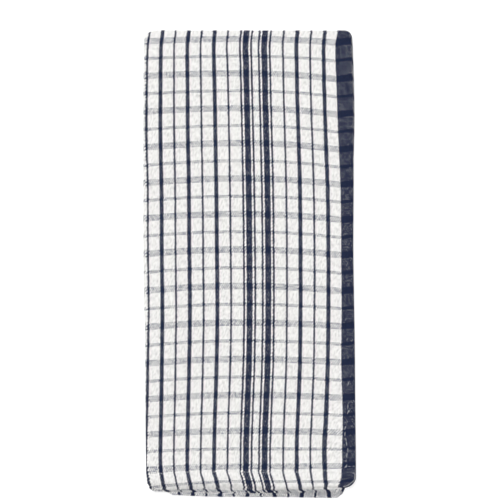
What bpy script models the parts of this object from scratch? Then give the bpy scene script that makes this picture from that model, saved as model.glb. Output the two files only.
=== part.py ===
"""Tea towel in navy and white check, lying folded on its back.

One hemmed cloth. It is folded in half along its length, with its face outward, so that the fold is
at the top (+Y) and both hems are at the bottom (-Y). The doubled cloth is then folded back and
forth into thirds across its width:

    front panel    on top, from its selvedge at the right (+X) to the left fold
    middle panel   from the left fold back to the right fold
    back panel     underneath, from the right fold to the other selvedge, near the left

That gives six layers, a little apart. The solid is made the way the towel is: a flat sheet, as
thick as the cloth, which fold() lays into the packet. Sizes are in millimetres down to the last
step, which turns them into metres.
"""

import math

import bmesh
import bpy
import numpy as np

MM = 0.001

# ---- the cloth, and how its layers lie ---------------------------------------------------------
CLOTH_WIDTH = 436.0  # selvedge to selvedge
CLOTH_THICKNESS = 1.0
LAYER_GAP = 0.4
LAYER_PITCH = CLOTH_THICKNESS + LAYER_GAP
HEM_DEPTH = 11.0  # a hem is turned twice
HEM_SWELL = 0.22  # so the layers stand this share higher there
HEM_BLEND = 3.0

# The doubled cloth turns round FOLD_RADIUS at the left and right folds. Its outer face is
# FOLD_REACH from the middle of the turn.
FOLD_RADIUS = LAYER_PITCH
FOLD_REACH = FOLD_RADIUS + LAYER_PITCH / 2 + CLOTH_THICKNESS / 2

# Heights of the doubled cloth's middle in each panel. The lowest face is at zero.
BACK_Z = (LAYER_PITCH + CLOTH_THICKNESS) / 2
MIDDLE_Z = BACK_Z + 2 * FOLD_RADIUS
FRONT_Z = MIDDLE_Z + 2 * FOLD_RADIUS

# ---- the packet's outline ----------------------------------------------------------------------
# The sides lean and bow a little. One row for each height, from the bottom up. The slip is how far
# the layer under the front one stands out beyond its selvedge.
#   height  left side  front selvedge  slip   right fold
SIDES = (
    (-165, -72.0, 74.6, -0.6, 64.2),
    (-157, -72.3, 74.8, -0.6, 67.6),
    (-145, -72.8, 74.8, -0.6, 71.6),
    (-110, -73.2, 74.5, -0.6, 73.6),
    (-50, -73.8, 73.9, -0.7, 73.2),
    (10, -74.7, 73.0, -0.8, 72.2),
    (60, -74.8, 73.2, -0.4, 72.2),
    (100, -74.8, 72.9, 0.9, 71.8),
    (140, -74.6, 71.9, 1.2, 70.8),
    (165, -73.9, 71.1, 0.9, 70.0),
)
HEIGHT, LEFT_SIDE, SELVEDGE, SLIP, RIGHT_FOLD = range(5)
MID_HEIGHT = 0.0

# Where the top fold and the two hems lie at each turn of the cloth. The layers fan out below.
#   turn                         top fold   outer hem   inner hem
TURNS = (
    ("front selvedge", 164.2, -157.4, -160.6),
    ("left fold, front side", 164.3, -157.9, -160.0),
    ("left fold, middle side", 163.6, -159.8, -161.6),
    ("right fold, middle side", 163.0, -164.6, -162.2),
    ("right fold, back side", 162.6, -163.8, -163.4),
    ("back selvedge", 162.2, -160.6, -161.8),
)
TOP_EDGE, HEM_EDGE = TURNS[0][1], TURNS[0][2]

# How far each corner is rounded off.
#   corner         inward   up or down
CORNERS = {
    "top left": (11.0, 5.4),
    "top right": (5.0, 4.6),
    "bottom left": (6.5, 8.0),
    "bottom right": (8.6, 8.4),
    "right fold": (4.0, 2.6),
}

# Two corners of the hems are turned up out of sight: the inner hem's beside the front selvedge, and
# the middle panel's beside the left fold.
#   corner             reach inward   blend   rise
TUCKS = {
    "front selvedge": (8.6, 2.2, 4.6),
    "left fold": (19.0, 6.0, 2.4),
}

# The stack is a little uneven. One row for each soft swelling or hollow; its rise is a share of
# the stack's height.
#   x    y    reach across   reach along   rise
SWELLS = (
    (-46, 96, 34, 60, 0.045),
    (30, 60, 40, 48, -0.035),
    (52, -60, 26, 54, 0.040),
    (-20, -86, 44, 40, -0.030),
    (-62, -40, 20, 70, 0.030),
)
TOP_DROOP = 0.07  # the stack sinks by this share towards the top fold
TOP_DROOP_WIDTH = 9.0
OVERHANG_DROOP = 0.16  # and the front panel by this share past the right fold
OVERHANG_WIDTH = 8.0

# ---- lines of the mesh -------------------------------------------------------------------------
# Lines stand closer where the outline curves: at these distances from the start and the end of a
# part. The rest of the part is cut into even steps.
#   part              near its start        even steps   near its end
ACROSS = (
    ("front panel", (1.6, 3.6, 6.2, 8.8, 16), 5, (14, 5, 2)),
    ("left fold", (), 6, ()),
    ("middle panel", (2, 5, 13, 20), 5, (12, 4)),
    ("right fold", (), 6, ()),
    ("back panel", (4, 12), 5, (12, 4)),
)
ALONG = (
    ("inner half", (4, 9, 13, 20), 10, (9, 3)),
    ("top fold", (), 6, ()),
    ("outer half", (3, 9), 10, (20, 13, 9, 4)),
)

COTTON = (0.72, 0.73, 0.76, 1.0)


def ease(low, high, at):
    """0 below low, 1 above high, and smooth between."""
    t = np.clip((at - low) / (high - low), 0, 1)
    return t * t * (3 - 2 * t)


def side_at(column, height):
    """A smooth curve through one column of SIDES."""
    table = np.array(SIDES)
    knots, values = table[:, HEIGHT], table[:, column]
    slopes = np.gradient(values, knots)
    height = np.clip(height, knots[0], knots[-1])
    low = np.clip(np.searchsorted(knots, height) - 1, 0, len(knots) - 2)
    span = knots[low + 1] - knots[low]
    t = (height - knots[low]) / span
    level = values[low] + (values[low + 1] - values[low]) * t * t * (3 - 2 * t)
    bend = slopes[low] * t * (1 - t) ** 2 - slopes[low + 1] * t * t * (1 - t)
    return level + bend * span


def turns_of(height):
    """The middles of the left and right folds' turns at a height."""
    return side_at(LEFT_SIDE, height) + FOLD_REACH, side_at(RIGHT_FOLD, height) - FOLD_REACH


def panel_runs():
    """The flat runs of the front, middle and back panels, half way up."""
    left, right = turns_of(MID_HEIGHT)
    front = side_at(SELVEDGE, MID_HEIGHT) - left
    middle = right - left
    return front, middle, CLOTH_WIDTH - front - middle - 2 * math.pi * FOLD_RADIUS


def rounding(corner, inward):
    """How far an edge has drawn back at a distance inward from its corner."""
    width, depth = CORNERS[corner]
    t = np.clip(1 - inward / width, 0, 1)
    return depth * (1 - np.sqrt(1 - t * t))


def tucked(corner, inward):
    """How far a turned-up corner has risen at a distance inward from its side."""
    reach, blend, rise = TUCKS[corner]
    return rise * (1 - ease(reach - blend, reach, inward))


def edges_at(part, t):
    """Heights of the top fold, the outer hem and the inner hem at a place across the cloth."""
    front, left, middle, right, back = (part == p for p in range(len(ACROSS)))
    front_run, middle_run, back_run = panel_runs()
    bulge = FOLD_RADIUS * np.sin(math.pi * t)
    from_left = FOLD_REACH + np.select(
        (front, left, middle, right, back),
        (front_run * (1 - t), -bulge, middle_run * t, middle_run, back_run * (1 - t)),
    )
    from_right = FOLD_REACH + np.select(
        (middle, right, back), (middle_run * (1 - t), -bulge, back_run * t), middle_run
    )
    from_selvedge = np.where(front, front_run * t, front_run)

    heights = np.array([row[1:] for row in TURNS])
    share = ease(0, 1, t)[:, None]
    top, outer, inner = (heights[part] * (1 - share) + heights[part + 1] * share).T
    top = top - rounding("top left", from_left) - rounding("top right", from_selvedge)
    lift = rounding("bottom left", from_left) + rounding("right fold", from_right)
    lift += rounding("bottom right", from_selvedge)
    lift += np.where(middle | back, tucked("left fold", from_left), 0)
    lift += np.where(left, tucked("left fold", 0) * ease(0, 1, t), 0)
    return top, outer + lift, inner + lift + tucked("front selvedge", from_selvedge)


def across_packet(part, t, y, side):
    """The doubled cloth's middle in the x-z plane, and the way its outer face looks there."""
    turn_left, turn_right = turns_of(y)
    selvedge = side_at(SELVEDGE, y) + side_at(SLIP, y) * (1 - side) / 2
    back_selvedge = turns_of(MID_HEIGHT)[1] - panel_runs()[2]
    sine, cosine = np.sin(math.pi * t), np.cos(math.pi * t)
    flat, up = np.zeros_like(t), np.ones_like(t)
    x = np.choose(
        part,
        (
            selvedge + (turn_left - selvedge) * t,
            turn_left - FOLD_RADIUS * sine,
            turn_left + (turn_right - turn_left) * t,
            turn_right + FOLD_RADIUS * sine,
            turn_right + (back_selvedge - turn_right) * t,
        ),
    )
    z = np.choose(
        part,
        (
            FRONT_Z * up,
            MIDDLE_Z + FOLD_RADIUS * (1 + cosine),
            MIDDLE_Z * up,
            BACK_Z + FOLD_RADIUS * (1 + cosine),
            BACK_Z * up,
        ),
    )
    face_x = np.choose(part, (flat, -sine, flat, -sine, flat))
    face_z = np.choose(part, (up, cosine, -up, -cosine, up))
    return x, z, face_x, face_z


def stack_height(x, y):
    """How high the stack stands at a place, as a share of its plain height."""
    height = np.ones_like(x)
    for at_x, at_y, across, along, rise in SWELLS:
        height += rise * np.exp(-(((x - at_x) / across) ** 2) - ((y - at_y) / along) ** 2)
    hem_line = HEM_EDGE + HEM_DEPTH
    height += HEM_SWELL * ease(-HEM_BLEND, HEM_BLEND, hem_line - y)
    height -= TOP_DROOP * ease(TOP_EDGE - TOP_DROOP_WIDTH, TOP_EDGE, y)
    past_fold = x - side_at(RIGHT_FOLD, y)
    height -= OVERHANG_DROOP * ease(-OVERHANG_WIDTH / 2, OVERHANG_WIDTH / 2, past_fold)
    return height


def fold(across, along, depth):
    """Where points of the flat cloth lie in the packet, in metres.

    across and along are each the number of the part and the fraction of it, and depth is the
    distance from the middle of the cloth's thickness towards its face."""
    part, t = across
    half, s = along
    offset = LAYER_PITCH / 2 + depth
    turn = math.pi * (s - 0.5)
    side = np.choose(half, (-np.ones_like(s), np.sin(turn), np.ones_like(s)))
    top, outer, inner = edges_at(part, t)
    top = top - LAYER_PITCH / 2 - CLOTH_THICKNESS / 2
    y = np.choose(
        half, (inner + (top - inner) * s, top + offset * np.cos(turn), top + (outer - top) * s)
    )
    x, z, face_x, face_z = across_packet(part, t, y, side)
    x = x + side * offset * face_x
    z = (z + side * offset * face_z) * stack_height(x, y)
    return np.column_stack((x, y, z)) * MM


def lines(table, runs):
    """The part of the cloth and the fraction of it at each line of the mesh."""
    parts, fractions = [], []
    for number, ((_, near_start, steps, near_end), run) in enumerate(zip(table, runs, strict=True)):
        start = [0.0] + [distance / run for distance in near_start]
        end = [1 - distance / run for distance in near_end] + [1.0]
        middle = [start[-1] + (end[0] - start[-1]) * step / steps for step in range(1, steps)]
        found = start + middle + end[:-1]
        parts += [number] * len(found)
        fractions += found
    return np.array(parts + [len(table) - 1]), np.array(fractions + [1.0])


def flat_sheet(columns, rows):
    """The cloth as a flat closed sheet. x and y count the lines of the mesh, and z is the depth."""
    sheet = bmesh.new()
    bmesh.ops.create_grid(sheet, x_segments=columns, y_segments=rows, size=0.5)
    for vertex in sheet.verts:
        vertex.co.x = round((vertex.co.x + 0.5) * columns)
        vertex.co.y = round((vertex.co.y + 0.5) * rows)
        vertex.co.z = -CLOTH_THICKNESS / 2
    raised = bmesh.ops.extrude_face_region(sheet, geom=sheet.faces[:])["geom"]
    for vertex in (item for item in raised if isinstance(item, bmesh.types.BMVert)):
        vertex.co.z = CLOTH_THICKNESS / 2
    bmesh.ops.recalc_face_normals(sheet, faces=sheet.faces[:])
    return sheet


def build_towel():
    front_run, middle_run, back_run = panel_runs()
    half_run = TOP_EDGE - HEM_EDGE
    across_part, across_share = lines(ACROSS, (front_run, 1, middle_run, 1, back_run))
    along_part, along_share = lines(ALONG, (half_run, 1, half_run))
    sheet = flat_sheet(len(across_part) - 1, len(along_part) - 1)
    flat = np.array([vertex.co for vertex in sheet.verts])
    columns, rows = flat[:, 0].astype(int), flat[:, 1].astype(int)
    folded = fold(
        (across_part[columns], across_share[columns]),
        (along_part[rows], along_share[rows]),
        flat[:, 2],
    )
    for vertex, place in zip(sheet.verts, folded, strict=True):
        vertex.co = place
    mesh = bpy.data.meshes.new("towel")
    sheet.to_mesh(mesh)
    sheet.free()
    mesh.shade_smooth()
    mesh.set_sharp_from_angle(angle=math.radians(50))
    return bpy.data.objects.new("towel", mesh)


def cotton():
    material = bpy.data.materials.new("cotton")
    material.use_nodes = True
    shader = material.node_tree.nodes["Principled BSDF"]
    shader.inputs["Base Color"].default_value = COTTON
    shader.inputs["Roughness"].default_value = 0.9
    shader.inputs["Metallic"].default_value = 0.0
    return material


for old in list(bpy.data.objects):
    bpy.data.objects.remove(old, do_unlink=True)
collection = bpy.data.collections.new("tea_towel")
bpy.context.scene.collection.children.link(collection)
towel = build_towel()
towel.data.materials.append(cotton())
collection.objects.link(towel)
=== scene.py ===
"""Looks of the folded tea towel: woven cloth, hems and sewing thread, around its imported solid.

The cloth is one closed sheet, laid on the same folds as the solid. Its weave is a 3/1 twill that is
worked out thread by thread from the cloth's own coordinates: the number of the warp thread, counted
from the front selvedge, and the number of the weft thread, or pick, counted from the front hem.
Lengths are in millimetres until a mesh is made, except where a comment says m.
"""

import math

import bmesh
import bpy
import numpy as np
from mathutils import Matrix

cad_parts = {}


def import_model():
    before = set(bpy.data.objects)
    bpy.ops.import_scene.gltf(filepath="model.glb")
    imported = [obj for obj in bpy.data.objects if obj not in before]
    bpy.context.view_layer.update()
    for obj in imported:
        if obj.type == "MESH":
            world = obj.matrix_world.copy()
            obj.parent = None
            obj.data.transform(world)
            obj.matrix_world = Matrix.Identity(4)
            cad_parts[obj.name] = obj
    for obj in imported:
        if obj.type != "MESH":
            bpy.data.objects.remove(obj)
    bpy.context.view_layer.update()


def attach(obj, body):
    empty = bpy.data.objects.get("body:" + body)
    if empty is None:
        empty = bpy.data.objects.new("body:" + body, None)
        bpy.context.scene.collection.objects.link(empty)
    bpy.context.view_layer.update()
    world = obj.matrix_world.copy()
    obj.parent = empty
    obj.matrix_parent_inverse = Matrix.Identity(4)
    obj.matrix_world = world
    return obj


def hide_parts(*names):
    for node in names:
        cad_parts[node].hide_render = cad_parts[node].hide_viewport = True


MM = 0.001

# ---- the cloth, and how its layers lie: as in the solid ----
CLOTH_WIDTH = 436.0  # selvedge to selvedge
CLOTH_LENGTH = 650.0
SOLID_THICKNESS = 1.0
LAYER_GAP = 0.4
LAYER_PITCH = SOLID_THICKNESS + LAYER_GAP
HEM_DEPTH = 11.0
HEM_SWELL = 0.22  # the stack is higher at its hems by this share
HEM_BLEND = 3.0

FOLD_RADIUS = LAYER_PITCH
FOLD_REACH = FOLD_RADIUS + LAYER_PITCH / 2 + SOLID_THICKNESS / 2

BACK_Z = (LAYER_PITCH + SOLID_THICKNESS) / 2
MIDDLE_Z = BACK_Z + 2 * FOLD_RADIUS
FRONT_Z = MIDDLE_Z + 2 * FOLD_RADIUS

# The cloth's parts by number. Across it they are the front panel, the left turn, the middle panel,
# the right turn and the back panel. Along it they are the inner half, the top turn and the outer half.
FRONT, MIDDLE = 0, 2
INNER, OUTER = 0, 2

#   height  left side  front selvedge  slip   right fold
SIDES = (
    (-165, -72.0, 74.6, -0.6, 64.2),
    (-157, -72.3, 74.8, -0.6, 67.6),
    (-145, -72.8, 74.8, -0.6, 71.6),
    (-110, -73.2, 74.5, -0.6, 73.6),
    (-50, -73.8, 73.9, -0.7, 73.2),
    (10, -74.7, 73.0, -0.8, 72.2),
    (60, -74.8, 73.2, -0.4, 72.2),
    (100, -74.8, 72.9, 0.9, 71.8),
    (140, -74.6, 71.9, 1.2, 70.8),
    (165, -73.9, 71.1, 0.9, 70.0),
)
LEFT_SIDE, SELVEDGE, SLIP, RIGHT_FOLD = range(1, 5)
MID_HEIGHT = 0.0

#   turn                         top fold   outer hem   inner hem
TURNS = (
    ("front selvedge", 164.2, -157.4, -160.6),
    ("left fold, front side", 164.3, -157.9, -160.0),
    ("left fold, middle side", 163.6, -159.8, -161.6),
    ("right fold, middle side", 163.0, -164.6, -162.2),
    ("right fold, back side", 162.6, -163.8, -163.4),
    ("back selvedge", 162.2, -160.6, -161.8),
)
TOP_EDGE, HEM_EDGE = TURNS[0][1], TURNS[0][2]

#   corner         inward   up or down
CORNERS = {
    "top left": (11.0, 5.4),
    "top right": (5.0, 4.6),
    "bottom left": (6.5, 8.0),
    "bottom right": (8.6, 8.4),
    "right fold": (4.0, 2.6),
}

#   corner             reach inward   blend   rise
TUCKS = {
    "front selvedge": (8.6, 2.2, 4.6),
    "left fold": (19.0, 6.0, 2.4),
}

#   x    y    reach across   reach along   rise
SWELLS = (
    (-46, 96, 34, 60, 0.045),
    (30, 60, 40, 48, -0.035),
    (52, -60, 26, 54, 0.040),
    (-20, -86, 44, 40, -0.030),
    (-62, -40, 20, 70, 0.030),
)
TOP_DROOP = 0.07
TOP_DROOP_WIDTH = 9.0
OVERHANG_DROOP = 0.16
OVERHANG_WIDTH = 8.0

# ---- finer form, which the solid leaves out ----
CLOTH_THICKNESS = 0.8
HEM_FACE = 0.46  # a turned hem's face and its turned side, from the cloth's middle
HEM_BACK = 0.66
HEM_STEP = 0.35  # half the width of the step at the hem's inner edge
HEM_ROUND = 2.4  # how far in from its edge the cloth is rounded off
SELVEDGE_ROUND = 0.4
EDGE_THINNING = 0.86  # 1 would bring the edge itself to nothing

# The front hem's edge isn't quite straight. One row for each bulge; a rise draws the edge up.
#   x    reach   rise
HEM_WAVES = (
    (-58, 12, -0.9),
    (-14, 7, 0.6),
    (20, 15, -0.8),
    (56, 9, 1.0),
    (-34, 9, 0.3),
)
HEM_WAVE_FADE = 12  # the bulges fade in over this distance from the left fold
# The same for the hems below it, in both halves of the middle panel and in the front's inner half.
INNER_HEM_WAVES = ((-8, 32, -1.0),)
MIDDLE_HEM_WAVES = ((-16, 40, -2.1),)

# Soft troughs and ridges of the whole stack, each along a line.
#   x    y    heading   reach along   reach across   rise
CREASES = (
    (58, 122, 96, 46, 7, -0.050),
    (-66, 0, 90, 150, 5, -0.040),
    (-66, -118, 90, 40, 6, -0.045),
    (10, -128, 4, 60, 5, 0.020),
    (66, -20, 88, 90, 4, -0.030),
    (-20, 146, 2, 60, 5, -0.030),
)

# The end of the stack sinks at the hems by this share, and on the left from a little higher up.
HEM_DROOP, HEM_DROOP_TOP, HEM_DROOP_WIDTH = 0.55, -155.0, 8.4
LEFT_DROOP_RISE, LEFT_DROOP_NEAR, LEFT_DROOP_FAR = 2.6, -16, 18

# Small unevenness of each layer, in waves.
#   wavelength   heading   amplitude   phase
COCKLES = (
    (41, 24, 0.050, 0.4),
    (27, 112, 0.035, 2.1),
    (17, 71, 0.022, 4.0),
    (12, 158, 0.014, 1.2),
)

# The seam of a hem, which draws the cloth in. In the front's border it drifts up.
STITCH_LINE = HEM_DEPTH + 0.7
STITCH_RISE, STITCH_RISE_NEAR, STITCH_RISE_FAR = 3.6, 5, 14
STITCH_PINCH = 0.17
STITCH_PINCH_REACH = 0.55

# Slanting ropes between a hem's edge and its seam, which come and go along it.
ROPE_WAVELENGTH, ROPE_HEADING, ROPE_HEIGHT = 6.3, 52, 0.075
ROPE_SWING, ROPE_SWING_LENGTH, ROPE_SWING_START = 0.6, 9.7, 1.3
ROPE_FADE_START = 2  # they fade out from here to the seam

# The lines of the mesh: even steps in each part, and the distances of closer ones at its edges.
STEPS_ACROSS = (100, 12, 34, 12, 34)
STEPS_ALONG = (60, 12, 60)
EDGE_LINES = (0.06, 0.18, 0.36, 0.62)
SELVEDGE_LINES = EDGE_LINES + (1.1, 2.0)
HEM_LINES = EDGE_LINES + (1.1, 1.8, 2.7, 3.8, 5.0, 6.2, 7.4, 8.6, 9.7, 10.4, 10.75, 11.1, 11.4, 11.8)
HEM_LINES += (12.3, 13.2, 14.4, 15.4, 17.5, 20.5)
TOP_LINES = (1, 3)
SHARP_ANGLE = 70

# The map for baking, in shares of its width.
BAKE_MARGIN = 0.005
BAKE_WIDTH = 0.49  # of each side of the cloth
BAKE_OTHER_SIDE = 0.5
BAKE_EDGE = 0.002

# ---- weave ----
WARP_THREADS = 1246
WARP_PITCH = 0.355
PICK_PITCH = 0.575

# Where some warp threads run down the front panel, by their numbers from the selvedge.
WARP_KNOTS = (28, 53, 107, 245, 407)
#   height   x of each of these threads
WARP_LINES = (
    (-157, 61.5, 53.8, 35.8, -12.7, -69.3),
    (-154, 63.1, 53.5, 35.0, -13.2, -70.2),
    (-150, 64.2, 53.0, 34.0, -14.4, -70.8),
    (-146, 64.4, 52.8, 33.0, -15.7, -71.4),
    (-142, 65.0, 52.5, 33.2, -15.5, -71.9),
    (-132, 65.0, 52.2, 33.1, -15.4, -72.0),
    (-110, 65.4, 53.3, 33.8, -14.9, -71.6),
    (-74, 64.5, 54.8, 35.3, -13.6, -71.2),
    (-32, 64.6, 55.4, 35.8, -12.9, -70.8),
    (10, 64.4, 55.4, 35.8, -13.2, -71.3),
    (52, 63.9, 54.9, 35.4, -13.7, -71.4),
    (93, 62.1, 53.4, 34.3, -14.4, -72.2),
    (122, 61.1, 52.5, 33.4, -15.0, -72.0),
    (143, 60.3, 52.2, 33.1, -15.6, -71.7),
    (155, 60.2, 52.2, 32.9, -15.9, -71.2),
    (162, 61.6, 53.0, 33.8, -15.2, -70.2),
)

# The height of some picks half way across the front panel.
#   height   pick
PICK_LINES = (
    (-157.4, -5),
    (-153.0, 3),
    (-142.4, 26),
    (-66.8, 158),
    (10.2, 290),
    (84.9, 422),
    (133.9, 510),
    (158.0, 554),
    (164.0, 565),
)
# The weft bands sag towards both sides of the front panel.
#   height   sag at the left side   sag at the border
BAND_SAGS = (
    (-157, 4.4, 0.3),
    (-152, 4.0, 0.2),
    (-142, 2.0, -0.3),
    (-118, 2.5, 1.0),
    (-92, 2.8, 1.7),
    (-41, 2.8, 2.3),
    (-15, 2.9, 3.1),
    (34, 2.6, 3.5),
    (60, 2.8, 3.8),
    (110, 2.1, 4.1),
    (134, 1.6, 3.7),
    (158, 1.4, 2.2),
)
SAG_MIDDLE, SAG_REACH = -4.6, 63.2
SAG_LEFT_END, SAG_RIGHT_END = 1.08, 1.2  # the sag stops growing at these shares of its reach
SAG_FADE = 60  # past the left fold it fades out over this length
BORDER_RISE = 0.12  # in the border they rise again, by this slope
# this band's grey at the lower hems' edges also stands in for part of the shade on them
INNER_HEM_PICK = 1126  # the hem that is folded under has its edge in a thick band

# Near the hem of the front's inner half the warp leans to the right. The lean fades in from the left
# fold and from the selvedge. In the border it reaches further up.
#   lean at the edge   reach up from it
INNER_LEAN, INNER_LEAN_REACH = 3.3, 3.0
BORDER_LEAN, BORDER_LEAN_REACH = 3.6, 7.0
BORDER_LEAN_NEAR, BORDER_LEAN_FAR = 11, 17
LEFT_FADE, SELVEDGE_FADE = 10, 4
# Near the hems of the middle panel it runs straight on past the narrower right fold: this thread lies
# at this x there, which fades out up the panel and fades in from the left fold.
MIDDLE_THREAD, MIDDLE_THREAD_X = 650, 17.6
MIDDLE_NEAR, MIDDLE_FAR = 8.0, 80.0
MIDDLE_FADE = 14

# The sett, in threads. The same stripes run in from both selvedges.
BORDER_THREADS = 28
STRIPE_REPEAT = 54
THICK_STRIPE = 8
THIN_STRIPE_MIDDLE = 31
THIN_STRIPE = 4
OUTER_START = 49  # thick stripes start here
INNER_START = 268  # and here, past the two wide stripes
GROUP_MIDDLE = 189.5
GROUP_REACH = 33
GROUP_STRIPES = ((7.5, 4), (18.5, 12), (29.5, 4))  # distance from the middle, and width
BAND_REPEAT = 44
BAND_START = 22
THICK_BAND = 8
THIN_BAND_MIDDLE = 26
THIN_BAND = 4

# ---- colours, linear ----
WHITE = (0.875, 0.865, 0.85, 1)
NAVY = (0.0135, 0.0195, 0.052, 1)
BLUE_GREY = (0.03, 0.055, 0.16, 1)
THREAD_WHITE = (0.80, 0.80, 0.79, 1)
THREAD_GREY = (0.62, 0.63, 0.64, 1)
FLOOR_WHITE = (0.35, 0.35, 0.35, 1)
LIGHT_WHITE = (1, 1, 1, 1)

# ---- looks of the yarn ----
TWILL_REPEAT = 4
YARN_WAVE = 0.6  # how far a stripe's edge winds to each side, in threads
YARN_JITTER = 0.5  # and how far unevenly, in patches of this many threads and picks
JITTER_PATCH = (4, 3)
SELVEDGE_LOOPS = 1.5  # the weft turns round the first threads, and shows there

# How much of a white weft shows between navy warps, at the least and at the most. The rest of it is
# painted navy, partly for the small share of it that shows and partly as painted shade where it sinks
# between them.
WEFT_INSIDE = (0.04, 0.54)
WEFT_AT_SIDE = (0.15, 0.65)
GLINT_POWER = 3.0  # inside a stripe the brighter ones are rare

# How much a band darkens white warps, in patches of threads and picks and in speckles.
CLUMP_PATCH = (3, 2)
CLUMP_SHADE = (-0.3, 0.5)
SPECKLE_GRAINS = (0.7, 1)
SPECKLE_SHADE = (-0.4, 0.4)

# Painted shade along the twill's slanting ridges, and uneven yarn, each with its noise's grains to a
# millimetre across and along.
STROKE_WAY = (0.33, 0.94)  # the twill's line, to the right and up
STROKE_GRAINS = (1, 0.34)
# painted shade of the twill's ridges: the darkest and lightest share of the colour that the strokes
# give
STROKE_PAINTED_SHADE = (0.60, 1.25)
FIBRE_GRAINS = (9.0, 2.5)
PLY_GRAINS = 2600  # of the sewing thread, to a metre
#   grains   darkest   lightest
TONES = (
    ((0.03, 0.03), 0.98, 1.02),  # slow changes
    ((1.6, 0.05), 0.97, 1.03),  # streaks along the warp
    ((0.04, 1.1), 0.98, 1.02),  # and along the weft
)

# Relief, as shares of a warp thread's own.
FLOAT_ENDS = 0.55
WEFT_RELIEF = 0.55
FIBRE_RELIEF = 0.15
STROKE_RELIEF = 0.5

# ---- the packet's form: as in the solid ----
def ease(low, high, at):
    """0 below low, 1 above high, and smooth between."""
    t = np.clip((at - low) / (high - low), 0, 1)
    return t * t * (3 - 2 * t)


def curve_at(rows, column, place):
    """A smooth curve through one column of a table, whose first column is the place."""
    table = np.array(rows, dtype=float)
    knots, values = table[:, 0], table[:, column]
    slopes = np.gradient(values, knots)
    place = np.clip(place, knots[0], knots[-1])
    low = np.clip(np.searchsorted(knots, place) - 1, 0, len(knots) - 2)
    span = knots[low + 1] - knots[low]
    t = (place - knots[low]) / span
    level = values[low] + (values[low + 1] - values[low]) * t * t * (3 - 2 * t)
    bend = slopes[low] * t * (1 - t) ** 2 - slopes[low + 1] * t * t * (1 - t)
    return level + bend * span


def turned(heading, x, y):
    """A place's distances along a heading, which is in degrees, and aside from it."""
    turn = math.radians(heading)
    return x * math.cos(turn) + y * math.sin(turn), y * math.cos(turn) - x * math.sin(turn)


def side_at(column, height):
    return curve_at(SIDES, column, height)


def slip_at(height, side):
    """How far the cloth lies to the right of its outer half. side is as in side_of."""
    return side_at(SLIP, height) * (1 - side) / 2


def turns_of(height):
    """The middles of the left and right folds' turns at a height."""
    return side_at(LEFT_SIDE, height) + FOLD_REACH, side_at(RIGHT_FOLD, height) - FOLD_REACH


def part_runs():
    """The path's length in each part across the cloth, half way up."""
    left, right = turns_of(MID_HEIGHT)
    front, middle = side_at(SELVEDGE, MID_HEIGHT) - left, right - left
    turn = math.pi * FOLD_RADIUS
    return front, turn, middle, turn, CLOTH_WIDTH - front - middle - 2 * turn


def rounding(corner, inward):
    """How far an edge has drawn back at a distance inward from its corner."""
    width, depth = CORNERS[corner]
    t = np.clip(1 - inward / width, 0, 1)
    return depth * (1 - np.sqrt(1 - t * t))


def tucked(corner, inward):
    """How far a turned-up corner has risen at a distance inward from its side."""
    reach, blend, rise = TUCKS[corner]
    return rise * (1 - ease(reach - blend, reach, inward))


def hem_wave(waves, x):
    """How far a hem's edge is drawn up at a place across."""
    return sum(rise * np.exp(-(((x - at) / reach) ** 2)) for at, reach, rise in waves)


def edges_at(part, t):
    """Heights of the top turn's middle, the outer hem and the inner hem at a place across."""
    front, left, middle, right, back = (part == number for number in range(5))
    front_run, middle_run, back_run = part_runs()[::2]
    bulge = FOLD_RADIUS * np.sin(math.pi * t)
    from_left = FOLD_REACH + np.select(
        (front, left, middle, right, back),
        (front_run * (1 - t), -bulge, middle_run * t, middle_run, back_run * (1 - t)),
    )
    from_right = FOLD_REACH + np.select(
        (middle, right, back), (middle_run * (1 - t), -bulge, back_run * t), middle_run
    )
    from_selvedge = np.where(front, front_run * t, front_run)

    heights = np.array([row[1:] for row in TURNS])
    share = ease(0, 1, t)[:, None]
    top, outer, inner = (heights[part] * (1 - share) + heights[part + 1] * share).T
    top = top - rounding("top left", from_left) - rounding("top right", from_selvedge)
    top = top - LAYER_PITCH / 2 - SOLID_THICKNESS / 2
    lift = rounding("bottom left", from_left) + rounding("right fold", from_right)
    lift += rounding("bottom right", from_selvedge)
    lift += np.where(middle | back, tucked("left fold", from_left), 0)
    lift += np.where(left, tucked("left fold", 0) * ease(0, 1, t), 0)
    at_x = side_at(LEFT_SIDE, HEM_EDGE) + from_left
    front_wave = hem_wave(HEM_WAVES, at_x) * ease(0, HEM_WAVE_FADE, from_left)
    middle_wave = np.where(middle, hem_wave(MIDDLE_HEM_WAVES, at_x), 0)
    outer_wave = np.where(front, front_wave, middle_wave)
    inner_wave = np.where(front, hem_wave(INNER_HEM_WAVES, at_x), middle_wave)
    inner_wave = inner_wave + tucked("front selvedge", from_selvedge)
    return top, outer + lift + outer_wave, inner + lift + inner_wave


def side_of(half, s):
    """-1 on the inner half, 1 on the outer one, and between them round the top turn."""
    return np.choose(half, (-1, np.sin(math.pi * (s - 0.5)), 1))


def height_along(edges, half, s, radius):
    """The height at a fraction of a half, or of the top turn, which has this radius."""
    top, outer, inner = edges
    over_top = top + radius * np.cos(math.pi * (s - 0.5))
    return np.choose(half, (inner + (top - inner) * s, over_top, top + (outer - top) * s))


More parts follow.
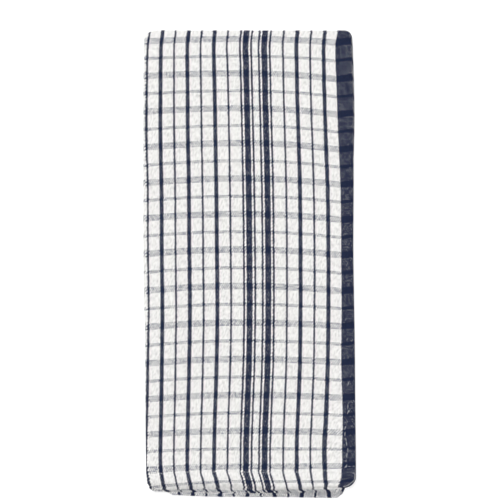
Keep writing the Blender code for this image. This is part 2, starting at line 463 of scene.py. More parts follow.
def across_packet(part, t, y, side):
    """The doubled cloth's middle in the x-z plane, and the way its outer face looks there."""
    turn_left, turn_right = turns_of(y)
    selvedge = side_at(SELVEDGE, y) + slip_at(y, side)
    back_selvedge = turns_of(MID_HEIGHT)[1] - part_runs()[-1]
    sine, cosine = np.sin(math.pi * t), np.cos(math.pi * t)
    places = (
        selvedge + (turn_left - selvedge) * t,
        turn_left - FOLD_RADIUS * sine,
        turn_left + (turn_right - turn_left) * t,
        turn_right + FOLD_RADIUS * sine,
        turn_right + (back_selvedge - turn_right) * t,
    )
    x = np.choose(part, places)
    left_z, right_z = (low + FOLD_RADIUS * (1 + cosine) for low in (MIDDLE_Z, BACK_Z))
    z = np.choose(part, (FRONT_Z, left_z, MIDDLE_Z, right_z, BACK_Z))
    face_x = np.choose(part, (0, -sine, 0, -sine, 0))
    face_z = np.choose(part, (1, cosine, -1, -cosine, 1))
    return x, z, face_x, face_z


def stack_height(x, y):
    """How high the stack stands at a place, as a share of its plain height."""
    height = np.ones_like(x)
    for at_x, at_y, across, along, rise in SWELLS:
        height += rise * np.exp(-(((x - at_x) / across) ** 2) - ((y - at_y) / along) ** 2)
    for at_x, at_y, heading, along, across, rise in CREASES:
        forward, aside = turned(heading, x - at_x, y - at_y)
        height += rise * np.exp(-((forward / along) ** 2) - (aside / across) ** 2)
    hem_line = HEM_EDGE + HEM_DEPTH
    height += HEM_SWELL * ease(-HEM_BLEND, HEM_BLEND, hem_line - y)
    height -= TOP_DROOP * ease(TOP_EDGE - TOP_DROOP_WIDTH, TOP_EDGE, y)
    droop_top = HEM_DROOP_TOP + LEFT_DROOP_RISE * (1 - ease(LEFT_DROOP_NEAR, LEFT_DROOP_FAR, x))
    height -= HEM_DROOP * ease(0, HEM_DROOP_WIDTH, droop_top - y)
    past_fold = x - side_at(RIGHT_FOLD, y)
    height -= OVERHANG_DROOP * ease(-OVERHANG_WIDTH / 2, OVERHANG_WIDTH / 2, past_fold)
    return height


def fold(across, along, depth):
    """Where points of the flat cloth lie in the packet, in millimetres.

    across and along are each the number of the part and the fraction of it, and depth is the
    distance from the middle of the cloth's thickness towards its face."""
    part, t = across
    half, s = along
    offset = LAYER_PITCH / 2 + depth
    side = side_of(half, s)
    y = height_along(edges_at(part, t), half, s, offset)
    x, z, face_x, face_z = across_packet(part, t, y, side)
    x = x + side * offset * face_x
    z = (z + side * offset * face_z) * stack_height(x, y)
    return np.column_stack((x, y, z))


# ---- distances on the cloth ----
def distance_across(part, t):
    """The distance on the cloth from the front selvedge."""
    runs = np.array(part_runs())
    starts = np.concatenate(([0], np.cumsum(runs)[:-1]))
    return starts[part] + runs[part] * t


def across_at(distance):
    """The part across the cloth and the fraction of it at a distance from the front selvedge."""
    runs = np.array(part_runs())
    ends = np.cumsum(runs)
    part = np.clip(np.searchsorted(ends, distance), 0, len(runs) - 1)
    return part, (distance - (ends[part] - runs[part])) / runs[part]


def distance_from_hem(part, t, half, s):
    """The distance from the nearer hem's edge, which is large round the top fold."""
    top, outer, inner = edges_at(part, t)
    return np.choose(half, ((top - inner) * s, top - outer, (top - outer) * (1 - s)))


def along_at(part, t, half, from_hem):
    """The fraction of a half at a distance from its hem's edge."""
    top, outer, inner = edges_at(part, t)
    return np.where(half == INNER, from_hem / (top - inner), 1 - from_hem / (top - outer))


# ---- the cloth's surfaces ----
def stitch_line(distance, half):
    """The distance from the hem's edge to its stitches."""
    rise = STITCH_RISE * (1 - ease(STITCH_RISE_NEAR, STITCH_RISE_FAR, distance))
    rise = rise - rounding("bottom right", distance)
    return STITCH_LINE + np.where(half == OUTER, rise, 0)


def rounded_off(inward, reach):
    """The share of its thickness that the cloth has at a distance inward from an edge."""
    t = np.clip(1 - inward / reach, 0, 1)
    return np.sqrt(np.clip(1 - EDGE_THINNING * t * t, 0, 1))


def rope_height(distance, from_hem):
    """How high the slanting ropes between a hem's edge and its stitches stand."""
    way = turned(ROPE_HEADING, distance, from_hem)[0]
    swing = 1 + ROPE_SWING * np.sin(distance / ROPE_SWING_LENGTH + ROPE_SWING_START)
    rope = ROPE_HEIGHT * swing * np.sin(2 * math.pi * way / ROPE_WAVELENGTH)
    return rope * (1 - ease(ROPE_FADE_START, STITCH_LINE, from_hem))


def cloth_depth(distance, from_hem, half, length, face):
    """The depth of the cloth's face (face is 1) or of its other side (face is 0)."""
    in_hem = 1 - ease(HEM_DEPTH - HEM_STEP, HEM_DEPTH + HEM_STEP, from_hem)
    top = CLOTH_THICKNESS / 2 + (HEM_FACE - CLOTH_THICKNESS / 2) * in_hem
    bottom = CLOTH_THICKNESS / 2 + (HEM_BACK - CLOTH_THICKNESS / 2) * in_hem
    middle, reach = (top - bottom) / 2, (top + bottom) / 2
    from_stitches = (from_hem - stitch_line(distance, half)) / STITCH_PINCH_REACH
    reach = reach - STITCH_PINCH * np.exp(-(from_stitches**2))
    reach = reach * rounded_off(from_hem, HEM_ROUND)
    from_side = np.minimum(distance, CLOTH_WIDTH - distance)
    reach = reach * rounded_off(from_side, SELVEDGE_ROUND)
    for wavelength, heading, amplitude, phase in COCKLES:
        way = turned(heading, distance, length)[0]
        middle = middle + amplitude * np.sin(2 * math.pi * way / wavelength + phase)
    middle = middle + rope_height(distance, from_hem)
    return middle + reach * np.where(face > 0.5, 1, -1)


# ---- the cloth's own coordinates, in threads ----
def warp_at(x, y):
    """The number of the warp thread at a place on the front panel."""
    knots = (0, *WARP_KNOTS)
    places = [side_at(SELVEDGE, y)]
    places += [curve_at(WARP_LINES, column, y) for column in range(1, len(WARP_KNOTS) + 1)]
    number = (places[0] - x) / (places[0] - places[1]) * knots[1]
    for low in range(1, len(knots) - 1):
        share = (places[low] - x) / (places[low] - places[low + 1])
        inside = knots[low] + (knots[low + 1] - knots[low]) * share
        number = np.where(x < places[low], inside, number)
    return number


def pick_at(x, y, past_left):
    """The number of the pick at a place. past_left is the path's length past the left fold."""
    border = curve_at(WARP_LINES, 1, y)
    to_left = np.clip(-(x - SAG_MIDDLE) / SAG_REACH, 0, SAG_LEFT_END)
    to_border = np.clip((np.minimum(x, border) - SAG_MIDDLE) / SAG_REACH, 0, SAG_RIGHT_END)
    left = curve_at(BAND_SAGS, 1, y) * to_left**2
    right = curve_at(BAND_SAGS, 2, y) * to_border**2
    sag = left * (1 - ease(0, SAG_FADE, past_left)) + np.where(past_left > 0, 0, right)
    sag = sag - BORDER_RISE * np.where(past_left > 0, 0, np.clip(x - border, 0, None))
    heights, picks = np.array(PICK_LINES, dtype=float).T
    place = y + sag
    number = np.interp(place, heights, picks)
    number = number + np.minimum(place - heights[0], 0) / PICK_PITCH
    return number + np.maximum(place - heights[-1], 0) / PICK_PITCH


def warp_lean(half, from_hem, from_selvedge, to_left):
    """How far the warp of the front's inner half leans to the right near its hem. to_left is the
    path's length to the left fold."""
    lean = INNER_LEAN * np.clip(1 - from_hem / INNER_LEAN_REACH, 0, 1)
    lean = lean * ease(0, LEFT_FADE, to_left)
    in_border = BORDER_LEAN * (1 - ease(BORDER_LEAN_REACH / 2, BORDER_LEAN_REACH, from_hem))
    in_border = in_border * (1 - ease(BORDER_LEAN_NEAR, BORDER_LEAN_FAR, from_selvedge))
    lean = np.maximum(lean, in_border) * ease(0, SELVEDGE_FADE, from_selvedge)
    return np.where(half == INNER, lean, 0)


def warp_past_left(part, x, y, path, from_hem):
    """The number of the warp thread at a length of the path past the left fold."""
    front_run, left_run, middle_run, right_run, back_run = part_runs()
    turn_left, turn_right = turns_of(y)
    at_left = warp_at(turn_left, y)
    even = at_left + (WARP_THREADS - at_left) * path / (CLOTH_WIDTH - front_run)
    at_x = np.where(part == MIDDLE, x, turn_right)
    straight = MIDDLE_THREAD + (at_x - MIDDLE_THREAD_X) / WARP_PITCH
    past_middle = np.clip(path - left_run - middle_run, 0, None) / (right_run + back_run)
    straight = straight + (WARP_THREADS - straight) * past_middle
    near_hem = 1 - ease(MIDDLE_NEAR, MIDDLE_FAR, from_hem)
    near_hem = near_hem * ease(0, MIDDLE_FADE, path - left_run)
    return even + near_hem * (straight - even)


def weave_at(part, t, half, s):
    """The numbers of the warp thread and of the pick at a place of the cloth."""
    edges = edges_at(part, t)
    side = side_of(half, s)
    y = height_along(edges, half, s, 0)
    x = across_packet(part, t, y, side)[0]
    from_hem = distance_from_hem(part, t, half, s)
    from_selvedge = distance_across(part, t)
    path = from_selvedge - part_runs()[FRONT]
    lean = warp_lean(half, from_hem, from_selvedge, -path)
    on_front = warp_at(x - slip_at(y, side) - lean, y)
    warp = np.where(part == FRONT, on_front, warp_past_left(part, x, y, path, from_hem))

    top = edges[0]
    past_left = np.where(part == FRONT, 0, path)
    turn_length = math.pi * LAYER_PITCH / 2
    at_top = pick_at(x, top, past_left)
    from_top = at_top + (turn_length + (top - y)) / PICK_PITCH
    # the thick band at the folded-under edge, whose grey also stands in for part of the shade on the
    # lower hems
    from_edge = INNER_HEM_PICK - from_hem / PICK_PITCH
    inner_pick = from_edge + (from_top - from_edge) * s
    turn_pick = at_top + turn_length * (1 - s) / PICK_PITCH
    return warp, np.choose(half, (inner_pick, turn_pick, pick_at(x, y, past_left)))


# ---- the cloth's mesh ----
def lines(runs, steps, near_starts):
    """The part and the fraction of it at each line of the mesh. near_starts has the distances of
    closer lines from each part's start. The ends mirror the starts, with even steps between."""
    parts, fractions = [], []
    for number, (run, count) in enumerate(zip(runs, steps, strict=True)):
        start = [0.0] + [distance / run for distance in near_starts[number]]
        end = [1 - distance / run for distance in reversed(near_starts[-1 - number])] + [1.0]
        between = [start[-1] + (end[0] - start[-1]) * step / count for step in range(1, count)]
        found = start + between + end[:-1]
        parts += [number] * len(found)
        fractions += found
    return np.array(parts + [len(runs) - 1]), np.array(fractions + [1.0])


def flat_sheet(columns, rows):
    """A flat closed sheet. x and y count the lines of the mesh, and z is 1 on the cloth's face."""
    sheet = bmesh.new()
    bmesh.ops.create_grid(sheet, x_segments=columns, y_segments=rows, size=0.5)
    for vertex in sheet.verts:
        vertex.co.x = round((vertex.co.x + 0.5) * columns)
        vertex.co.y = round((vertex.co.y + 0.5) * rows)
        vertex.co.z = 0
    raised = bmesh.ops.extrude_face_region(sheet, geom=sheet.faces[:])["geom"]
    for vertex in (item for item in raised if isinstance(item, bmesh.types.BMVert)):
        vertex.co.z = 1
    bmesh.ops.recalc_face_normals(sheet, faces=sheet.faces[:])
    return sheet


def object_of(sheet, name):
    """A mesh object made from a bmesh, which is freed."""
    mesh = bpy.data.meshes.new(name)
    sheet.to_mesh(mesh)
    sheet.free()
    return bpy.data.objects.new(name, mesh)


def build_cloth():
    """The whole cloth as one closed sheet, with its weave's coordinates."""
    half_run = TOP_EDGE - HEM_EDGE
    part_of, share_of = lines(part_runs(), STEPS_ACROSS, (SELVEDGE_LINES, (), (), (), ()))
    half_runs = (half_run, 1, half_run)
    half_of, fraction_of = lines(half_runs, STEPS_ALONG, (HEM_LINES, (), TOP_LINES))
    sheet = flat_sheet(len(part_of) - 1, len(half_of) - 1)
    flat = np.array([vertex.co for vertex in sheet.verts])
    column, row, face = flat[:, 0].astype(int), flat[:, 1].astype(int), flat[:, 2]
    part, t, half, s = part_of[column], share_of[column], half_of[row], fraction_of[row]
    distance = distance_across(part, t)
    from_hem = distance_from_hem(part, t, half, s)
    length = np.choose(half, (from_hem, half_run, CLOTH_LENGTH - from_hem))
    depth = cloth_depth(distance, from_hem, half, length, face)
    folded = fold((part, t), (half, s), depth) * MM
    folded[:, 2] = np.maximum(folded[:, 2], 0)  # the lowest layer is flat where it lies
    for vertex, place in zip(sheet.verts, folded, strict=True):
        vertex.co = place
    cloth = object_of(sheet, "towel_cloth")
    mesh = cloth.data
    mesh.shade_smooth()
    mesh.set_sharp_from_angle(angle=math.radians(SHARP_ANGLE))

    quads = face_corners(mesh)
    is_other_side = face[quads].max(axis=1) < 0.5
    is_turned = is_other_side & (from_hem[quads].max(axis=1) < HEM_DEPTH + HEM_STEP)
    write_weave(mesh, quads, column, row, is_turned, weave_at(part, t, half, s))
    other_side = mesh.attributes.new("other_side", "FLOAT", "FACE")
    other_side.data.foreach_set("value", (is_other_side & ~is_turned).astype(float))
    write_bake_map(mesh, quads, column, row, face, distance, from_hem)
    return cloth


def face_corners(mesh):
    """The vertices at the four corners of each face."""
    corners = np.empty(len(mesh.loops), dtype=np.int64)
    mesh.loops.foreach_get("vertex_index", corners)
    return corners.reshape(-1, 4)


def write_map(mesh, name, u, v):
    uv_map = mesh.uv_layers.new(name=name)
    uv_map.uv.foreach_set("vector", np.column_stack((u.ravel(), v.ravel())).ravel())


def write_weave(mesh, quads, column, row, is_turned, weave):
    """Gives each corner the numbers of its warp thread and pick. On a hem's turned side the picks
    count back from the hem's edge."""
    warp, pick = weave
    ends = (0, row.max())
    edge_pick = np.zeros((column.max() + 1, len(ends)))
    for number, end in enumerate(ends):
        edge_pick[column[row == end], number] = pick[row == end]
    nearer = (row > row.max() / 2).astype(int)
    counted_back = 2 * edge_pick[column, nearer] - pick
    picks = np.where(is_turned[:, None], counted_back[quads], pick[quads])
    write_map(mesh, "weave", warp[quads], picks)


def write_bake_map(mesh, quads, column, row, face, distance, from_hem):
    """The map for baking: the face on the left, the other side on the right, both unstretched, and
    the edges as narrow strips round the face."""
    scale = BAKE_WIDTH / CLOTH_WIDTH
    length = np.where(row > row.max() / 2, CLOTH_LENGTH - from_hem, from_hem)
    u = BAKE_MARGIN + distance[quads] * scale
    v = BAKE_MARGIN + length[quads] * scale
    touches_face = face[quads].max(axis=1, keepdims=True) > 0.5
    u += np.where(touches_face, 0, BAKE_OTHER_SIDE)
    outside = touches_face & (face[quads] < 0.5)
    is_selvedge = np.ptp(column[quads], axis=1, keepdims=True) == 0
    for place, line, is_edge in ((u, column, is_selvedge), (v, row, ~is_selvedge)):
        outward = np.where(line[quads] == 0, -BAKE_EDGE, BAKE_EDGE)
        place += outward * (outside & is_edge)
    write_map(mesh, "OFBake", u, v)


# ---- sewing thread ----
THREAD_RADIUS = 0.12
THREAD_SIDES = 6
THREAD_TAPER = 0.55  # the share of the radius that is left at a thread's ends
STITCH_LENGTH = 2.1
STITCH_GAP = 0.55
STITCH_POINTS = 5
STITCH_MARGIN = 0.6  # the seam starts and ends this far from the selvedges
STITCH_TILT = 0.10  # the most that a stitch's ends lie aside
STITCH_SHIFT = 0.08  # and its middle
# A stitch is an arch that is sunk in the cloth at its ends. Heights in the thread's radius:
STITCH_ARCH = 0.9
SEAM_SUNK = 0.6
TACK_SUNK = 0.45
LOOSE_END_LIFT = 0.7
SEAM_ARCH_ENDS = (0.04, 0.96)  # a seam's stitches show this much of the arch

# The tacks that show in the border: where each comes up, and where it goes in.
#   x    y    x    y
TACKS = (
    (69.7, -82.8, 68.9, -85.6),
    (69.2, -99.0, 69.0, -101.1),
    (70.1, -102.5, 68.6, -105.3),
    (67.8, -113.7, 66.7, -116.5),
    (67.1, -117.9, 66.9, -120.7),
    (67.6, -122.1, 67.8, -124.3),
    (68.0, -125.0, 68.4, -127.8),
    (69.0, -129.2, 69.2, -132.0),
    (68.6, -132.7, 68.0, -135.9),
    (67.8, -137.6, 67.6, -139.0),
    (68.5, -140.8, 66.8, -143.3),
)
TACK_POINTS = 6

# The sewing thread's loose end, which lies along the rounded corner of the border.
LOOSE_END = (
    (72.6, -146.6),
    (73.9, -147.6),
    (73.9, -149.7),
    (73.3, -151.9),
    (72.0, -153.2),
    (68.6, -155.6),
    (65.7, -156.4),
)
LOOSE_END_STEP = 0.35
FROM_SELVEDGE, FROM_HEM_EDGE = 0.45, 0.5  # it stays this far inside the cloth's edges
ROUTE_FINENESS = 60  # trial points to each point of a route
OUTWARD_STEP = 0.1  # from a thread's middle to the point that shows its way out


def thread_points(distance, from_hem, half, face, lift):
    """Points on the cloth's face or its other side, with the way out of the cloth at each."""
    part, t = across_at(distance)
    halves = np.full(len(part), half)
    s = along_at(part, t, halves, from_hem)
    length = np.where(halves == INNER, from_hem, CLOTH_LENGTH - from_hem)
    depth = cloth_depth(distance, from_hem, halves, length, np.full_like(distance, face))
    way = 1 if face else -1
    places = fold((part, t), (halves, s), depth + way * lift)
    farther = fold((part, t), (halves, s), depth + way * (lift + OUTWARD_STEP))
    ups = farther - places
    return places, ups / np.linalg.norm(ups, axis=1, keepdims=True)


def add_thread(sheet, middles, ups):
    """A round thread along middles. ups points away from the cloth at each point."""
    ways = np.gradient(middles, axis=0)
    ways /= np.linalg.norm(ways, axis=1, keepdims=True)
    asides = np.cross(ways, ups)
    asides /= np.linalg.norm(asides, axis=1, keepdims=True)
    radii = np.full(len(middles), THREAD_RADIUS)
    radii[[0, -1]] *= THREAD_TAPER
    rings = []
    for middle, up, aside, radius in zip(middles, ups, asides, radii, strict=True):
        ring = []
        for number in range(THREAD_SIDES):
            angle = 2 * math.pi * number / THREAD_SIDES
            place = middle + radius * (math.cos(angle) * aside + math.sin(angle) * up)
            place[2] = max(place[2], 0)
            ring.append(sheet.verts.new(place * MM))
        rings.append(ring)
    for low, high in zip(rings, rings[1:]):
        for number in range(THREAD_SIDES):
            after = (number + 1) % THREAD_SIDES
            sheet.faces.new((low[number], low[after], high[after], high[number]))
    sheet.faces.new(rings[0][::-1])
    sheet.faces.new(rings[-1])


def thread_object(sheet, name):
    bmesh.ops.recalc_face_normals(sheet, faces=sheet.faces[:])
    threads = object_of(sheet, name)
    threads.data.shade_smooth()
    return threads


def arch_lift(share, sunk):
    """How high a stitch's middle line lies over the cloth at a share of its length."""
    return THREAD_RADIUS * (STITCH_ARCH * np.sin(math.pi * share) - sunk)


def build_hem_stitches():
    """A row of stitches along both hems, on the cloth's face and on its other side, where they lie
    half a step further on."""
    sheet = bmesh.new()
    step = STITCH_LENGTH + STITCH_GAP
    count = int(CLOTH_WIDTH / step)
    sway = np.random.default_rng(7).uniform(-1, 1, (count, 4))
    share = np.linspace(0, 1, STITCH_POINTS)
    tilt = STITCH_TILT * np.linspace(-1, 1, STITCH_POINTS)
    lift = arch_lift(np.linspace(*SEAM_ARCH_ENDS, STITCH_POINTS), SEAM_SUNK)
    for half in (INNER, OUTER):
        for face in (0, 1):
            for number in range(count):
                start = (number + 0.5 * (1 - face)) * step + STITCH_MARGIN
                distance = start + STITCH_LENGTH * share
                if distance[-1] > CLOTH_WIDTH - STITCH_MARGIN:
                    continue
                shift = STITCH_SHIFT * sway[number, half + face - 1]
                from_hem = stitch_line(distance, half) + tilt * sway[number, half] + shift
                add_thread(sheet, *thread_points(distance, from_hem, half, face, lift))
    return thread_object(sheet, "hem_stitches")


def on_front(x, y):
    """Distances from the front selvedge and from the front hem's edge at places of the packet."""
    turn_left = turns_of(y)[0]
    selvedge = side_at(SELVEDGE, y)
    t = (selvedge - x) / (selvedge - turn_left)
    outer = edges_at(np.full(len(t), FRONT), t)[1]
    return t * part_runs()[FRONT], y - outer


def build_tacking():
    sheet = bmesh.new()
    share = np.linspace(0, 1, TACK_POINTS)
    for start_x, start_y, end_x, end_y in TACKS:
        x = start_x + (end_x - start_x) * share
        y = start_y + (end_y - start_y) * share
        lift = arch_lift(share, TACK_SUNK)
        add_thread(sheet, *thread_points(*on_front(x, y), OUTER, 1, lift))
    return thread_object(sheet, "tacking_stitches")


def smooth_route(points, step):
    """Evenly spaced places on a smooth curve through points."""
    table = [(number, *point) for number, point in enumerate(points)]
    fine = np.linspace(0, len(points) - 1, ROUTE_FINENESS * len(points))
    route = [curve_at(table, column, fine) for column in (1, 2)]
    run = np.concatenate(([0], np.cumsum(np.hypot(*np.diff(route)))))
    even = np.arange(0, run[-1], step)
    return [np.interp(even, run, places) for places in route]


def build_loose_end():
    sheet = bmesh.new()
    distance, from_hem = on_front(*smooth_route(LOOSE_END, LOOSE_END_STEP))
    distance, from_hem = np.maximum(distance, FROM_SELVEDGE), np.maximum(from_hem, FROM_HEM_EDGE)
    lift = np.full_like(distance, THREAD_RADIUS * LOOSE_END_LIFT)
    add_thread(sheet, *thread_points(distance, from_hem, OUTER, 1, lift))
    return thread_object(sheet, "loose_thread_end")


# ---- nodes ----
def put(socket, value):
    """Links a node's output to a socket, or sets the socket's value."""
    if isinstance(value, bpy.types.NodeSocket):
        socket.id_data.links.new(value, socket)
    else:
        socket.default_value = value


def add_node(kind, inputs, **settings):
    """A node in the tree of the outputs that are among its inputs."""
    outputs = (value for value in inputs.values() if isinstance(value, bpy.types.NodeSocket))
    node = next(outputs).id_data.nodes.new("ShaderNode" + kind)
    for name, value in settings.items():
        setattr(node, name, value)
    for name, value in inputs.items():
        put(node.inputs[name], value)
    return node


def calc(operation, *values):
    return add_node("Math", dict(enumerate(values)), operation=operation).outputs[0]


def vector(x, y):
    return add_node("CombineXYZ", {"X": x, "Y": y}).outputs[0]


def axes(place):
    """The x and the y of a vector."""
    node = add_node("SeparateXYZ", {0: place})
    return node.outputs["X"], node.outputs["Y"]


def mix(share, first, second, blend="MIX"):
    inputs = {"Factor": share, "A": first, "B": second}
    return add_node("Mix", inputs, data_type="RGBA", blend_type=blend).outputs["Result"]


def noise(x, y, grains, detail=2.0):
    """Smooth noise from 0 to 1, with this many grains to a unit of x and of y."""
    place = vector(calc("MULTIPLY", x, grains[0]), calc("MULTIPLY", y, grains[1]))
    inputs = {"Scale": 1, "Detail": detail, "Vector": place}
    return add_node("TexNoise", inputs, noise_dimensions="2D").outputs["Fac"]


def random(x, y):
    node = add_node("TexWhiteNoise", {"Vector": vector(x, y)}, noise_dimensions="2D")
    return node.outputs["Value"]


def patches(x, y, width, height):
    """A random value from 0 to 1 for each patch of this width and height."""
    column = calc("FLOOR", calc("MULTIPLY", x, 1 / width))
    return random(column, calc("FLOOR", calc("MULTIPLY", y, 1 / height)))


def near(value, middle, width):
    """1 where value is less than half of width from middle, or else 0."""
    away = calc("ABSOLUTE", calc("SUBTRACT", value, middle))
    return calc("LESS_THAN", away, width / 2)


def spread(value, low, high):
    """Turns a value from 0 to 1 into one from low to high."""
    return calc("MULTIPLY_ADD", value, high - low, low)


def bump(height, strength, distance):
    """The normal over a relief whose distance is in millimetres."""
    inputs = {"Height": height, "Strength": strength, "Distance": distance * MM}
    return add_node("Bump", inputs).outputs[0]


def new_material(name):
    material = bpy.data.materials.new(name)
    material.use_nodes = True
    return material


def shade(material, looks):
    """Sets the sockets of the material's shader, by their names."""
    for name, value in looks.items():
        put(material.node_tree.nodes["Principled BSDF"].inputs[name], value)
    return material


# ---- materials ----
class Weave:
    """Where a point lies in the cloth, in threads and in millimetres, and what is on top there.

    In the 3/1 twill the weft is on top of every fourth warp, one thread further on in each pick."""

    def __init__(self, nodes):
        source = nodes.new("ShaderNodeUVMap")
        source.uv_map = "weave"
        self.across, self.along = axes(source.outputs[0])
        self.x = calc("MULTIPLY", self.across, -WARP_PITCH)
        self.y = calc("MULTIPLY", self.along, PICK_PITCH)
        self.warp = calc("FLOOR", self.across)
        self.pick = calc("FLOOR", self.along)
        steps = calc("ADD", self.warp, self.pick)
        self.phase = calc("FLOORED_MODULO", steps, TWILL_REPEAT)
        crossing = calc("LESS_THAN", self.phase, 0.5)
        other_side = nodes.new("ShaderNodeAttribute")
        other_side.attribute_name = "other_side"
        turned_over = calc("SUBTRACT", other_side.outputs["Fac"], crossing)
        self.weft_up = calc("ABSOLUTE", turned_over)


def navy_warps(warp):
    """1 on the navy warp threads."""
    mirrored = calc("SUBTRACT", WARP_THREADS, warp)
    number = calc("MINIMUM", warp, mirrored)
    past_group = calc("GREATER_THAN", number, GROUP_MIDDLE)
    start = calc("MULTIPLY_ADD", past_group, INNER_START - OUTER_START, OUTER_START)
    place = calc("FLOORED_MODULO", calc("SUBTRACT", number, start), STRIPE_REPEAT)
    thick = calc("LESS_THAN", place, THICK_STRIPE)
    thin = near(place, THIN_STRIPE_MIDDLE, THIN_STRIPE)
    away = calc("ABSOLUTE", calc("SUBTRACT", number, GROUP_MIDDLE))
    single = calc("MAXIMUM", thick, thin)
    single = calc("MULTIPLY", single, calc("GREATER_THAN", away, GROUP_REACH))
    navy = calc("MAXIMUM", single, calc("LESS_THAN", number, BORDER_THREADS))
    for middle, width in GROUP_STRIPES:
        navy = calc("MAXIMUM", navy, near(away, middle, width))
    return navy


def navy_picks(pick):
    """1 on the navy weft threads."""
    place = calc("FLOORED_MODULO", calc("SUBTRACT", pick, BAND_START), BAND_REPEAT)
    thick = calc("LESS_THAN", place, THICK_BAND)
    return calc("MAXIMUM", thick, near(place, THIN_BAND_MIDDLE, THIN_BAND))


def winding_warp(weave):
    """The number of the warp thread, for the stripes. Their edges wind from side to side, as the
    yarn goes over and under, and not quite evenly."""
    turn = calc("ADD", weave.across, weave.along)
    wave = calc("COSINE", calc("MULTIPLY", turn, 2 * math.pi / TWILL_REPEAT))
    winding = calc("MULTIPLY_ADD", wave, -YARN_WAVE, weave.across)
    uneven = patches(weave.across, weave.along, *JITTER_PATCH)
    winding = calc("ADD", winding, spread(uneven, -YARN_JITTER, YARN_JITTER))
    return calc("FLOOR", winding)


def sunk_weft_with_painted_shade(weave, winding):
    """The colour where a white weft sinks between navy warps: mostly navy, partly for the small share
    of it that shows and partly as painted shade. It shows more at a stripe's sides.
    """
    sides = [navy_warps(calc("ADD", winding, beside)) for beside in (-0.5, 1.5)]
    off_selvedge = calc("GREATER_THAN", weave.warp, SELVEDGE_LOOPS)
    is_inside = calc("MULTIPLY", calc("MULTIPLY", *sides), off_selvedge)
    chance = random(weave.warp, weave.pick)
    inside = spread(calc("POWER", chance, GLINT_POWER), *WEFT_INSIDE)
    at_side = spread(chance, *WEFT_AT_SIDE)
    difference = calc("SUBTRACT", inside, at_side)
    return mix(calc("MULTIPLY_ADD", difference, is_inside, at_side), NAVY, WHITE)


def band_shade(weave, weft_navy):
    """How much a navy weft darkens the white warps that lie on it."""
    clumps = patches(weave.across, weave.along, *CLUMP_PATCH)
    speckles = noise(weave.across, weave.along, SPECKLE_GRAINS, detail=0.0)
    patchy = calc("ADD", spread(clumps, *CLUMP_SHADE), spread(speckles, *SPECKLE_SHADE))
    return calc("MULTIPLY", weft_navy, calc("MAXIMUM", patchy, 0.0))


def thread_colour(weave):
    """The colour of the thread that is on top."""
    winding = winding_warp(weave)
    warp_navy = navy_warps(calc("ADD", winding, 0.5))
    weft_navy = navy_picks(calc("ADD", weave.pick, 0.5))
    # the white weft between navy warps carries painted shade where it sinks
    weft_white = mix(warp_navy, WHITE, sunk_weft_with_painted_shade(weave, winding))
    weft_colour = mix(weft_navy, weft_white, NAVY)
    warp_white = mix(band_shade(weave, weft_navy), WHITE, BLUE_GREY)
    warp_colour = mix(warp_navy, warp_white, NAVY)
    return mix(weave.weft_up, warp_colour, weft_colour)


def twill_strokes(weave):
    """Slanting strokes along the twill, from 0 to 1, for the painted shade of its ridges and for their
    relief.
    """
    to_right, up = STROKE_WAY
    forward = calc("ADD", calc("MULTIPLY", weave.x, to_right), calc("MULTIPLY", weave.y, up))
    aside = calc("SUBTRACT", calc("MULTIPLY", weave.x, up), calc("MULTIPLY", weave.y, to_right))
    return noise(aside, forward, STROKE_GRAINS, detail=1.0)


def painted_shade_and_tone(weave, strokes, colour):
    """The colour with painted shade along the twill's slanting ridges, and with the lighter and darker
    places of uneven yarn.
    """
    light = spread(strokes, *STROKE_PAINTED_SHADE)
    for grains, darkest, lightest in TONES:
        tone = spread(noise(weave.x, weave.y, grains), darkest, lightest)
        light = calc("MULTIPLY", light, tone)
    light = calc("MINIMUM", light, 1.0)
    grey = add_node("CombineColor", {0: light, 1: light, 2: light}).outputs[0]
    return mix(1.0, colour, grey, "MULTIPLY")


def rounded_thread(place):
    """How high a round thread is at a place across it, which runs from 0 to 1."""
    return calc("COSINE", calc("MULTIPLY", calc("SUBTRACT", place, 0.5), math.pi))


def thread_relief(weave):
    """Each warp float is a little arch, and the weft lies lower where it crosses."""
    in_warp = calc("SUBTRACT", weave.across, weave.warp)
    in_pick = calc("SUBTRACT", weave.along, weave.pick)
    round_warp, round_weft = (rounded_thread(place) for place in (in_warp, in_pick))
    float_place = calc("SUBTRACT", calc("ADD", weave.phase, in_pick), 1.0)
    arch = calc("SINE", calc("MULTIPLY", float_place, math.pi / (TWILL_REPEAT - 1)))
    warp_relief = calc("MULTIPLY", round_warp, spread(arch, FLOAT_ENDS, 1.0))
    weft_relief = calc("MULTIPLY", round_weft, WEFT_RELIEF)
    difference = calc("SUBTRACT", weft_relief, warp_relief)
    return calc("MULTIPLY_ADD", difference, weave.weft_up, warp_relief)


def cloth_material():
    """Cotton twill, worked out thread by thread from the map named weave."""
    material = new_material("cotton_twill")
    weave = Weave(material.node_tree.nodes)
    strokes = twill_strokes(weave)
    fibres = noise(weave.x, weave.y, FIBRE_GRAINS, detail=3.0)
    relief = thread_relief(weave)
    for uneven, swing in ((fibres, FIBRE_RELIEF), (strokes, STROKE_RELIEF)):
        relief = calc("ADD", relief, spread(uneven, -swing, swing))
    looks = {
        # the colour carries painted shade along the twill's ridges, and where white weft sinks between
        # navy warps
        "Base Color": painted_shade_and_tone(weave, strokes, thread_colour(weave)),
        "Normal": bump(relief, strength=0.55, distance=0.12),
        "Roughness": spread(fibres, 0.78, 0.94),
        "Specular IOR Level": 0.10,
        "Sheen Weight": 0.04,
        "Sheen Roughness": 0.6,
    }
    return shade(material, looks)


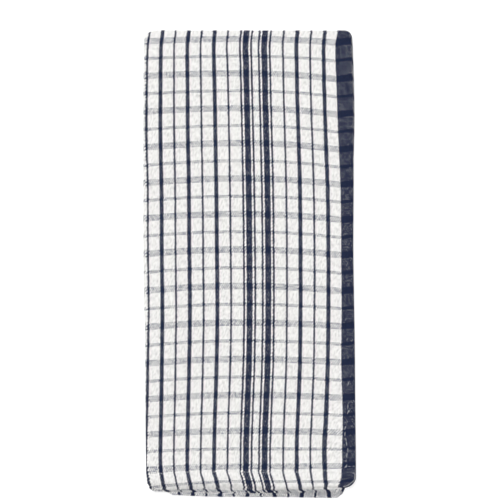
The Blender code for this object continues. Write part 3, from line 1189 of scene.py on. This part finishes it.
def thread_material():
    """Spun polyester-cotton sewing thread, with uneven plies and a faint sheen."""
    material = new_material("sewing_thread")
    x, y = axes(material.node_tree.nodes.new("ShaderNodeTexCoord").outputs["Object"])
    plies = noise(x, y, (PLY_GRAINS, PLY_GRAINS), detail=1.0)
    looks = {
        "Base Color": mix(plies, THREAD_GREY, THREAD_WHITE),
        "Normal": bump(plies, strength=0.4, distance=0.05),
        "Roughness": 0.6,
        "Sheen Weight": 0.2,
    }
    return shade(material, looks)


def floor_material():
    """Plain paper on a light table."""
    looks = {
        "Base Color": FLOOR_WHITE,
        "Roughness": 1.0,
        "Specular IOR Level": 0.0,
        "Emission Color": LIGHT_WHITE,
        "Emission Strength": FLOOR_GLOW,
    }
    return shade(new_material("floor_paper"), looks)


# ---- stage, light and camera ----
FLOOR_WIDTH = 12.0  # m
FLOOR_DROP = 0.1
FLOOR_GLOW = 0.80  # which keeps the ground white

# The photo's frame, and the height that its scale holds for.
PHOTO_PIXELS = 500
PIXEL = 0.702
FRAME_MIDDLE = (0.35, 9.8)
TOP_OF_STACK = 8.4
CAMERA_HEIGHT = 2600.0
SENSOR = 36.0
CLIP_END = 100  # m

LIGHT_PLACE = (-1.0, 2.1, 6.2)  # m
LIGHT_SIZE = 2.0  # m
LIGHT_WATTS = 355
WORLD_STRENGTH = 0.38


def link(obj):
    bpy.context.scene.collection.objects.link(obj)


def add_piece(obj, material):
    link(obj)
    obj.data.materials.append(material)
    return obj


def build_floor():
    sheet = bmesh.new()
    bmesh.ops.create_grid(sheet, x_segments=1, y_segments=1, size=FLOOR_WIDTH / 2)
    floor = add_piece(object_of(sheet, "floor"), floor_material())
    floor.location.z = -FLOOR_DROP * MM


def add_camera():
    data = bpy.data.cameras.new("camera")
    data.sensor_width = SENSOR
    data.lens = SENSOR * (CAMERA_HEIGHT - TOP_OF_STACK) / (PHOTO_PIXELS * PIXEL)
    data.clip_end = CLIP_END
    camera = bpy.data.objects.new("camera", data)
    camera.location = [place * MM for place in (*FRAME_MIDDLE, CAMERA_HEIGHT)]
    link(camera)
    bpy.context.scene.camera = camera


def add_key_light():
    data = bpy.data.lights.new("key_light", "AREA")
    data.size = LIGHT_SIZE
    data.energy = LIGHT_WATTS
    light = bpy.data.objects.new("key_light", data)
    light.location = LIGHT_PLACE
    aim = -light.location
    light.rotation_mode = "QUATERNION"
    light.rotation_quaternion = aim.to_track_quat("-Z", "Y")
    link(light)


def add_world():
    world = bpy.data.worlds.new("studio")
    world.use_nodes = True
    background = world.node_tree.nodes["Background"]
    background.inputs["Color"].default_value = LIGHT_WHITE
    background.inputs["Strength"].default_value = WORLD_STRENGTH
    bpy.context.scene.world = world
    bpy.context.scene.view_settings.view_transform = "Standard"


def main():
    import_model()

    cloth = add_piece(build_cloth(), cloth_material())
    thread = thread_material()
    threads = [
        add_piece(piece, thread)
        for piece in (build_hem_stitches(), build_tacking(), build_loose_end())
    ]
    for piece in (cloth, *threads):
        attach(piece, "root")
    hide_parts("towel")

    build_floor()
    add_camera()
    add_key_light()
    add_world()


main()
